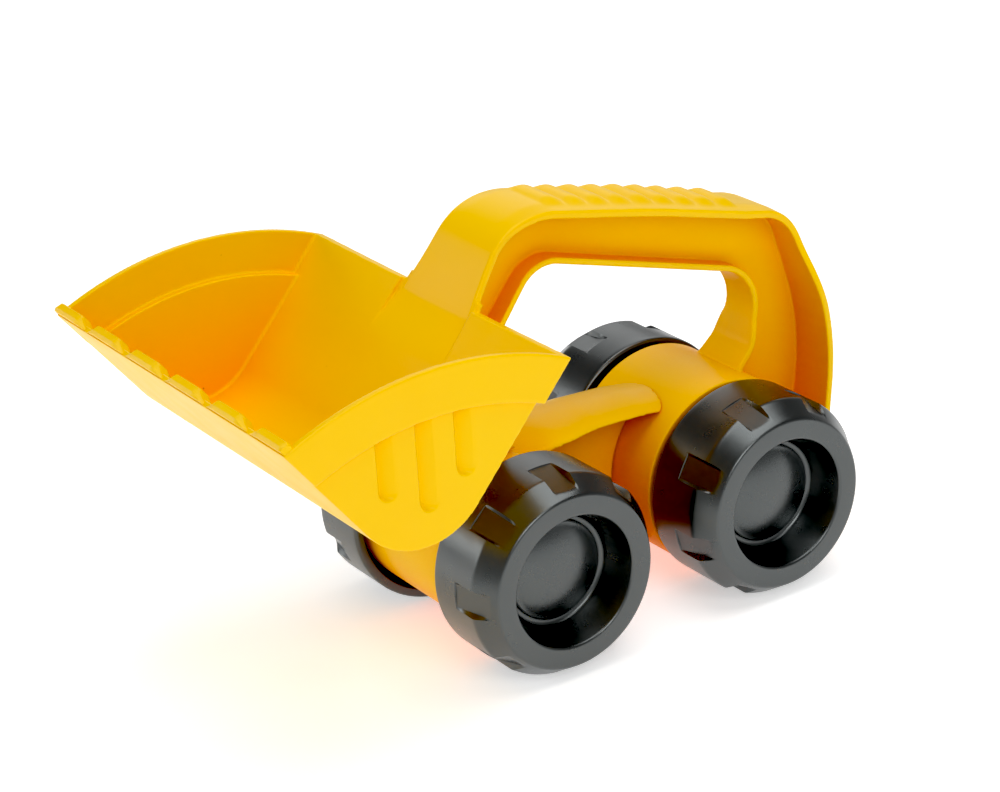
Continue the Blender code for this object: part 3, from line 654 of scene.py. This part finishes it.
# ---------------------------------------------------------------- front chassis
def make_chassis():
    """Front barrel and the arm that reaches back over the rear barrel."""
    profile = barrel_profile(FRONT_BARREL_R, FRONT_BARREL_Y)
    barrel = add_object("barrel", lathe(profile, 180, AXLE_X, AXLE_Z))
    top = filleted([(-0.90 * U, 1.850 * U, 0.0, 0.37 * U), (-0.45 * U, 1.912 * U, 0.9 * U, 0.40 * U),
                    (0.10 * U, 1.942 * U, 1.2 * U, 0.41 * U), (0.66 * U, 1.935 * U, 0.8 * U, 0.50 * U),
                    (0.96 * U, 1.870 * U, 0.6 * U, 0.44 * U),
                    (AXLE_X + 0.05 * U, 1.790 * U, 0.0, 0.32 * U)])
    top = soften_widths(resample(top, 0.03 * U), 0.20 * U)
    arm = add_object("arm", rolled(top, 0.125 * U, 0.05 * U))
    bottom = resample(filleted([(-0.70 * U, 0.42 * U, 0.0, 0.34 * U), (0.0, 0.36 * U, 0.6 * U, 0.34 * U),
                                (0.95 * U, 0.26 * U, 0.0, 0.34 * U)]), 0.05 * U)
    keel = add_object("keel", flange(bottom, WALL, 0.02 * U, -1))
    web = add_object("web", prism([(-0.78 * U, 1.75 * U), (0.95 * U, 1.80 * U), (0.95 * U, 0.30 * U),
                                   (-0.78 * U, 0.43 * U)], -WEB, WEB))
    arm = gather("arm", [arm, keel])
    core = rod((AXLE_X, -1.2 * U, AXLE_Z), (AXLE_X, 1.2 * U, AXLE_Z), FRONT_BARREL_R - 0.5 * WALL, 160)
    room = rod((-AXLE_X, -0.9 * U, AXLE_Z), (-AXLE_X, 0.9 * U, AXLE_Z), REAR_BARREL_R + JOINT_GAP, 160)
    clear_rooms((arm, web), (add_object("core", core), add_object("room", room)))
    chassis = gather("chassis_skin", [barrel, arm, web])
    melt(chassis, 5, 90000)
    place(chassis)
    return chassis


# ---------------------------------------------------------------- wheels and caps
NOTCH_COUNT = 8
NOTCH_PITCH = 360.0 / NOTCH_COUNT
NOTCH_HALF = math.radians(7.4)
NOTCH_FLAT_DEG = 6.9                            # full depth up to here, then a wall
NOTCH_WALL_DEG = 1.2
SHARP_EDGE = math.radians(28.0)
NOTCH_Y = 1.05 * U
NOTCH_END_Y = 1.478 * U


def wheel_rows():
    """(radius, y, softness) rows of the wheel's outline, its corners rounded."""
    inner_r = 0.908 * U
    corners = [
        (0.10 * U, 0.900 * U, 0), (0.20 * U, 0.900 * U, 0), (0.20 * U, DISH_Y - 0.10 * U, 0),
        (0.60 * U, DISH_Y - 0.10 * U, 0), (0.755 * U, WHEEL_OUT_Y - 0.090 * U, 0),
        (0.853 * U, 1.30 * U, 0), (inner_r, 1.08 * U, 0), (inner_r, WHEEL_IN_Y, 0.012 * U),
        (U, WHEEL_IN_Y, 0.035 * U), (U, 1.325 * U, 0.10 * U), (0.857 * U, WHEEL_OUT_Y, 0.040 * U),
        (0.655 * U, WHEEL_OUT_Y, 0.035 * U), (0.545 * U, DISH_Y, 0.05 * U), (0.10 * U, DISH_Y, 0),
    ]
    points = [(r, y) for r, y, _ in corners]
    rows = []
    for i, (r, y, soft) in enumerate(corners):
        if soft:
            after = points[(i + 1) % len(points)]
            rows += [tuple(p) for p in round_corner(points[i - 1], points[i], after, soft, 6)]
        else:
            rows.append((r, y))
    out = [rows[0]]
    for a, b in zip(rows, rows[1:]):
        outside = a[0] > 0.86 * U and b[0] > 0.86 * U and min(a[1], b[1]) > 0.9 * U
        parts = max(1, math.ceil(math.hypot(b[0] - a[0], b[1] - a[1]) / (0.03 * U))) if outside else 1
        if a[0] > 0.99 * U and b[0] > 0.99 * U and not outside:
            parts = 14
        for k in range(1, parts + 1):
            out.append((a[0] + (b[0] - a[0]) * k / parts, a[1] + (b[1] - a[1]) * k / parts))
    first = next(i for i, row in enumerate(out) if row[0] > 0.99 * U and row[1] > NOTCH_Y + 0.003 * U)
    out[first:first] = [(U, NOTCH_Y - 0.002 * U), (U, NOTCH_Y + 0.002 * U)]
    return out


def make_wheel(name, x, side, turn_deg):
    """Hollow moulded wheel with eight flat notches cut into the outer shoulder."""
    offsets = [-22.5, -19.5, -16.5, -13.5, -11.0, -9.3, -8.5, -8.1, -7.8, -7.4, -7.1, -6.9,
               -6.5, -5.5, -4.0, -2.0]
    offsets = offsets + [0.0] + [-o for o in reversed(offsets[1:])]
    flat_start = U * math.cos(NOTCH_HALF)
    bm = bmesh.new()
    rows = []
    for radius, y in wheel_rows():
        row = []
        for k in range(NOTCH_COUNT):
            for offset in offsets:
                o = math.radians(offset)
                r = radius
                if radius > 0.855 * U and y > NOTCH_Y:
                    floor = flat_start + (0.905 * U - flat_start) * (y - NOTCH_Y) / (NOTCH_END_Y - NOTCH_Y)
                    floor = (floor - 0.006 * U) / math.cos(min(abs(o), NOTCH_HALF))
                    wall = max(0.0, min(1.0, (abs(offset) - NOTCH_FLAT_DEG) / NOTCH_WALL_DEG))
                    cut = min(radius, floor)
                    r = cut + (radius - cut) * wall
                a = math.radians(NOTCH_PITCH * k + turn_deg) + o
                row.append(bm.verts.new((r * math.cos(a), y, r * math.sin(a))))
        rows.append(row)
    count = len(rows[0])
    for a, b in zip(rows, rows[1:] + rows[:1]):
        for k in range(count):
            j = (k + 1) % count
            bm.faces.new((a[k], a[j], b[j], b[k]))
    if side < 0:
        bmesh.ops.scale(bm, vec=(1, -1, 1), verts=bm.verts)
    bmesh.ops.translate(bm, vec=(x, 0.0, AXLE_Z), verts=bm.verts)
    wheel = add_object(name, bm)
    wheel.data.shade_smooth()
    wheel.data.set_sharp_from_angle(angle=SHARP_EDGE)
    return wheel


def make_cap(name, x, side):
    """Domed disc with a rounded rim, hollow around the axle's end."""
    seat = DISH_Y + CAP_GAP
    profile = [(0.0, seat + 0.05 * U), (0.21 * U, seat + 0.05 * U), (0.21 * U, seat),
               (CAP_R - 0.004 * U, seat), (CAP_R, seat + 0.004 * U), (CAP_R, seat + 0.012 * U),
               (CAP_R - 0.008 * U, seat + 0.021 * U), (CAP_R - 0.024 * U, seat + 0.024 * U)]
    for k in range(1, 24):
        share = 1 - k / 24
        profile.append((CAP_R * 0.952 * share, seat + 0.020 * U + 0.085 * U * (1 - share ** 2.2)))
    profile.append((0.0, seat + 0.105 * U))
    bm = lathe(profile, 96, 0.0, 0.0)
    if side < 0:
        bmesh.ops.scale(bm, vec=(1, -1, 1), verts=bm.verts)
    bmesh.ops.translate(bm, vec=(x, 0.0, AXLE_Z), verts=bm.verts)
    cap = add_object(name, bm)
    cap.data.shade_smooth()
    return cap


# ---------------------------------------------------------------- materials
YELLOW = ((0.900, 0.540, 0.0, 1), (0.895, 0.562, 0.0, 1))
# painted shade colour, mixed into the yellow where its own surfaces occlude it
PAINTED_SHADE_ORANGE = (0.900, 0.230, 0.0, 1)
# painted shadow colour for the deepest gaps
PAINTED_SHADE_RED = (0.500, 0.020, 0.010, 1)
SPECK = (0.16, 0.08, 0.01, 1)
BLACK = (0.0050, 0.0050, 0.0050, 1)
WARM_BLACK = (0.0080, 0.0075, 0.0070, 1)
GREY_BLACK = (0.0080, 0.0080, 0.0080, 1)
BLACK_SHEEN = (0.93, 1.0, 1.0, 1)
ZINC = ((0.52, 0.53, 0.55, 1), (0.68, 0.68, 0.67, 1))
FLOOR_TONE = ((0.93, 0.93, 0.93, 1), (0.95, 0.95, 0.95, 1))


class Nodes:
    """Small helper for building a node tree."""

    def __init__(self, name):
        self.mat = bpy.data.materials.new(name)
        self.mat.use_nodes = True
        self.tree = self.mat.node_tree
        self.shader = self.tree.nodes["Principled BSDF"]

    def add(self, kind, inputs=None, **settings):
        node = self.tree.nodes.new(kind)
        for key, value in settings.items():
            setattr(node, key, value)
        for key, value in (inputs or {}).items():
            self.put(node.inputs[key], value)
        return node

    def put(self, socket, value):
        if isinstance(value, bpy.types.NodeSocket):
            self.tree.links.new(value, socket)
        else:
            socket.default_value = value

    def noise(self, scale, detail=4.0, roughness=0.55, vector=None, distortion=0.0):
        node = self.add("ShaderNodeTexNoise", {"Scale": scale, "Detail": detail, "Roughness": roughness,
                                               "Distortion": distortion})
        self.put(node.inputs["Vector"], vector or self.coords())
        return node.outputs["Fac"]

    def coords(self):
        if not hasattr(self, "_coords"):
            self._coords = self.add("ShaderNodeTexCoord").outputs["Object"]
        return self._coords

    def ramp(self, value, low, high, out_low=0.0, out_high=1.0):
        node = self.add("ShaderNodeMapRange", {"Value": value, "From Min": low, "From Max": high,
                                               "To Min": out_low, "To Max": out_high})
        return node.outputs["Result"]

    def math(self, operation, a, b=0.0):
        node = self.add("ShaderNodeMath", operation=operation)
        self.put(node.inputs[0], a)
        self.put(node.inputs[1], b)
        return node.outputs[0]

    def mix(self, factor, a, b):
        node = self.add("ShaderNodeMix", data_type="RGBA")
        self.put(node.inputs[0], factor)
        self.put(node.inputs[6], a)
        self.put(node.inputs[7], b)
        return node.outputs[2]

    def bump(self, height, strength, distance, normal=None):
        node = self.add("ShaderNodeBump", {"Height": height, "Strength": strength, "Distance": distance})
        if normal:
            self.put(node.inputs["Normal"], normal)
        return node.outputs["Normal"]


def yellow_plastic():
    """Glossy moulded plastic, with painted shade: deeper orange and red where its own surfaces close it in.
    """
    m = Nodes("yellow_plastic_skin")
    broad = m.noise(14.0, 3.0)
    fine = m.noise(900.0, 2.0, 0.6)
    grain = m.noise(2600.0, 2.0, 0.5)
    colour = m.mix(m.ramp(broad, 0.3, 0.7), *YELLOW)
    # painted shade: where ambient occlusion is strong, in recesses, creases and under overhangs, the yellow
    # is mixed toward orange
    ao_shade = m.add("ShaderNodeAmbientOcclusion", {"Distance": 0.080}, samples=4).outputs["AO"]
    colour = m.mix(m.ramp(ao_shade, 0.61, 0.13, 0.0, 0.90), colour, PAINTED_SHADE_ORANGE)
    # painted shadow: the most occluded gaps, such as under the arm's tip at the rear barrel, are mixed
    # further toward red
    colour = m.mix(m.ramp(ao_shade, 0.22, 0.05, 0.0, 0.35), colour, PAINTED_SHADE_RED)
    specks = m.ramp(m.noise(420.0, 1.0, 0.4), 0.835, 0.86)
    colour = m.mix(m.math("MULTIPLY", specks, 0.6), colour, SPECK)
    m.put(m.shader.inputs["Base Color"], colour)
    stretched = m.add("ShaderNodeMapping", {"Vector": m.coords(), "Rotation": (0.1, 0.2, 0.0),
                                            "Scale": (900.0, 260.0, 16.0)}).outputs["Vector"]
    scuff = m.ramp(m.noise(1.0, 2.0, 0.5, stretched), 0.66, 0.80)
    rough = m.ramp(m.noise(60.0, 4.0), 0.3, 0.7, 0.33, 0.40)
    rough = m.math("ADD", rough, m.math("MULTIPLY", scuff, 0.025))
    m.put(m.shader.inputs["Roughness"], rough)
    height = m.math("ADD", m.math("MULTIPLY", fine, 0.6), m.math("MULTIPLY", grain, 0.4))
    normal = m.bump(height, 0.022, 0.0002)
    normal = m.bump(scuff, 0.006, 0.0001, normal)
    m.put(m.shader.inputs["Normal"], normal)
    m.shader.inputs["IOR"].default_value = 1.49
    m.put(m.shader.inputs["Specular IOR Level"], m.ramp(ao_shade, 0.50, 0.85, 0.03, 0.27))
    return m.mat


def black_plastic(name, low, high, rough_low, rough_high):
    """Smooth dark plastic with a fine grain and faint scuffs."""
    m = Nodes(name)
    broad = m.noise(22.0, 3.0)
    grain = m.noise(1500.0, 3.0, 0.6)
    m.put(m.shader.inputs["Base Color"], m.mix(m.ramp(broad, 0.3, 0.7), low, high))
    stretched = m.add("ShaderNodeMapping", {"Vector": m.coords(), "Rotation": (0.2, 0.5, 1.1),
                                            "Scale": (40.0, 500.0, 700.0)}).outputs["Vector"]
    scuff = m.ramp(m.noise(1.0, 3.0, 0.6, stretched), 0.66, 0.80)
    rough = m.ramp(m.noise(90.0, 4.0), 0.3, 0.7, rough_low, rough_high)
    m.put(m.shader.inputs["Roughness"], m.math("ADD", rough, m.math("MULTIPLY", scuff, 0.07)))
    normal = m.bump(grain, 0.10, 0.00016)
    m.put(m.shader.inputs["Normal"], m.bump(scuff, 0.03, 0.0001, normal))
    m.shader.inputs["IOR"].default_value = 1.60
    m.shader.inputs["Specular IOR Level"].default_value = 1.0
    m.shader.inputs["Specular Tint"].default_value = BLACK_SHEEN
    return m.mat


def steel():
    m = Nodes("zinc_steel")
    broad = m.noise(300.0, 3.0)
    m.put(m.shader.inputs["Base Color"], m.mix(broad, *ZINC))
    m.put(m.shader.inputs["Roughness"], m.ramp(broad, 0.3, 0.7, 0.24, 0.40))
    m.put(m.shader.inputs["Normal"], m.bump(m.noise(2200.0), 0.15, 0.0001))
    m.shader.inputs["Metallic"].default_value = 1.0
    return m.mat


# ---------------------------------------------------------------- studio and camera
# name: place, aim, size, power
LIGHTS = {
    "key": ((0.30, 1.15, 0.95), (0.03, 0, 0.08), (0.8, 0.7), 6.6),
    "top": ((-0.15, 0.1, 1.4), (-0.02, 0, 0.08), (1.2, 1.2), 12.0),
    "back": ((-0.70, -1.0, 0.75), (-0.02, 0, 0.08), (1.3, 0.7), 3.0),
    "front": ((0.95, -0.85, 0.45), (0.02, 0, 0.08), (0.9, 0.5), 3.5),
}
CAMERA_TURN = (147.197, 23.439, -3.612)         # azimuth, elevation and roll in degrees
CAMERA_PLACE = Vector((MID_X + 14.317 * U, 20.737 * U, 12.965 * U))


def make_studio():
    bm = bmesh.new()
    bmesh.ops.create_grid(bm, x_segments=1, y_segments=1, size=6.0)
    floor = add_object("floor", bm)
    m = Nodes("studio_floor")
    tone = m.mix(m.noise(3.0), *FLOOR_TONE)
    m.put(m.shader.inputs["Base Color"], tone)
    m.put(m.shader.inputs["Emission Color"], tone)
    m.shader.inputs["Emission Strength"].default_value = 0.50
    m.shader.inputs["Roughness"].default_value = 0.75
    floor.data.materials.append(m.mat)

    world = bpy.data.worlds.new("studio")
    world.use_nodes = True
    tree = world.node_tree
    background = tree.nodes["Background"]
    height = tree.nodes.new("ShaderNodeSeparateXYZ")
    tree.links.new(tree.nodes.new("ShaderNodeTexCoord").outputs["Generated"], height.inputs[0])
    fade = tree.nodes.new("ShaderNodeMapRange")
    fade.inputs["From Min"].default_value = 0.20
    fade.inputs["From Max"].default_value = 0.75
    fade.inputs["To Min"].default_value = 1.0
    fade.inputs["To Max"].default_value = 0.22
    tree.links.new(height.outputs["Z"], fade.inputs["Value"])
    tree.links.new(fade.outputs["Result"], background.inputs["Color"])
    background.inputs["Strength"].default_value = 0.42
    bpy.context.scene.world = world

    for name, (place_at, aim, size, power) in LIGHTS.items():
        light = bpy.data.lights.new(name, "AREA")
        light.shape = "RECTANGLE"
        light.size, light.size_y = size
        light.energy = power
        lamp = bpy.data.objects.new(name, light)
        lamp.location = place_at
        lamp.rotation_euler = (Vector(aim) - Vector(place_at)).to_track_quat("-Z", "Y").to_euler()
        bpy.context.scene.collection.objects.link(lamp)


def make_camera():
    camera = bpy.data.cameras.new("camera")
    camera.sensor_width = 36.0
    camera.lens = 102.37
    camera.clip_start = 0.05
    camera.clip_end = 60.0
    az, el, roll = (math.radians(a) for a in CAMERA_TURN)
    back = Vector((math.sin(az) * math.cos(el), -math.cos(az) * math.cos(el), math.sin(el)))
    right = Vector((0, 0, 1)).cross(back).normalized()
    up = back.cross(right)
    across = right * math.cos(roll) + up * math.sin(roll)
    upward = up * math.cos(roll) - right * math.sin(roll)
    obj = bpy.data.objects.new("camera", camera)
    obj.matrix_world = Matrix((
        (across.x, upward.x, back.x, CAMERA_PLACE.x),
        (across.y, upward.y, back.y, CAMERA_PLACE.y),
        (across.z, upward.z, back.z, CAMERA_PLACE.z),
        (0, 0, 0, 1),
    ))
    bpy.context.scene.collection.objects.link(obj)
    bpy.context.scene.camera = obj
    view = bpy.context.scene.view_settings
    view.view_transform = "Standard"
    view.use_curve_mapping = True
    view.curve_mapping.black_level = (0.020, 0.020, 0.020)
    view.curve_mapping.update()


# ---------------------------------------------------------------- everything together
def main():
    make_camera()
    make_studio()
    yellow = yellow_plastic()
    black = black_plastic("black_plastic_skin", BLACK, WARM_BLACK, 0.26, 0.33)
    cap_black = black_plastic("cap_plastic_skin", BLACK, GREY_BLACK, 0.24, 0.31)
    metal = steel()

    for make, nodes in ((make_upper, ("scoop", "handle_frame")), (make_chassis, ("front_chassis", "arm"))):
        piece = make()
        piece.data.materials.clear()
        piece.data.materials.append(yellow)
        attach(piece, "chassis")
        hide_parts(*nodes)

    for corner, x, side, turn in (("front_left", FRONT_X, 1, 0.3), ("front_right", FRONT_X, -1, 22.5),
                                  ("rear_left", REAR_X, 1, -15.4), ("rear_right", REAR_X, -1, 26.0)):
        body = corner + "_wheel_set"
        wheel = make_wheel(corner + "_wheel_skin", x, side, turn)
        wheel.data.materials.append(black)
        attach(wheel, body)
        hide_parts(corner + "_wheel")
        cap = make_cap(corner + "_hub_cap_skin", x, side)
        cap.data.materials.append(cap_black)
        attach(cap, body)
        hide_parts(corner + "_hub_cap")

    for name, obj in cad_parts.items():
        if name.endswith(("axle", "axle_clip")) or "_screw_" in name:
            obj.data.materials.clear()
            obj.data.materials.append(metal)


main()
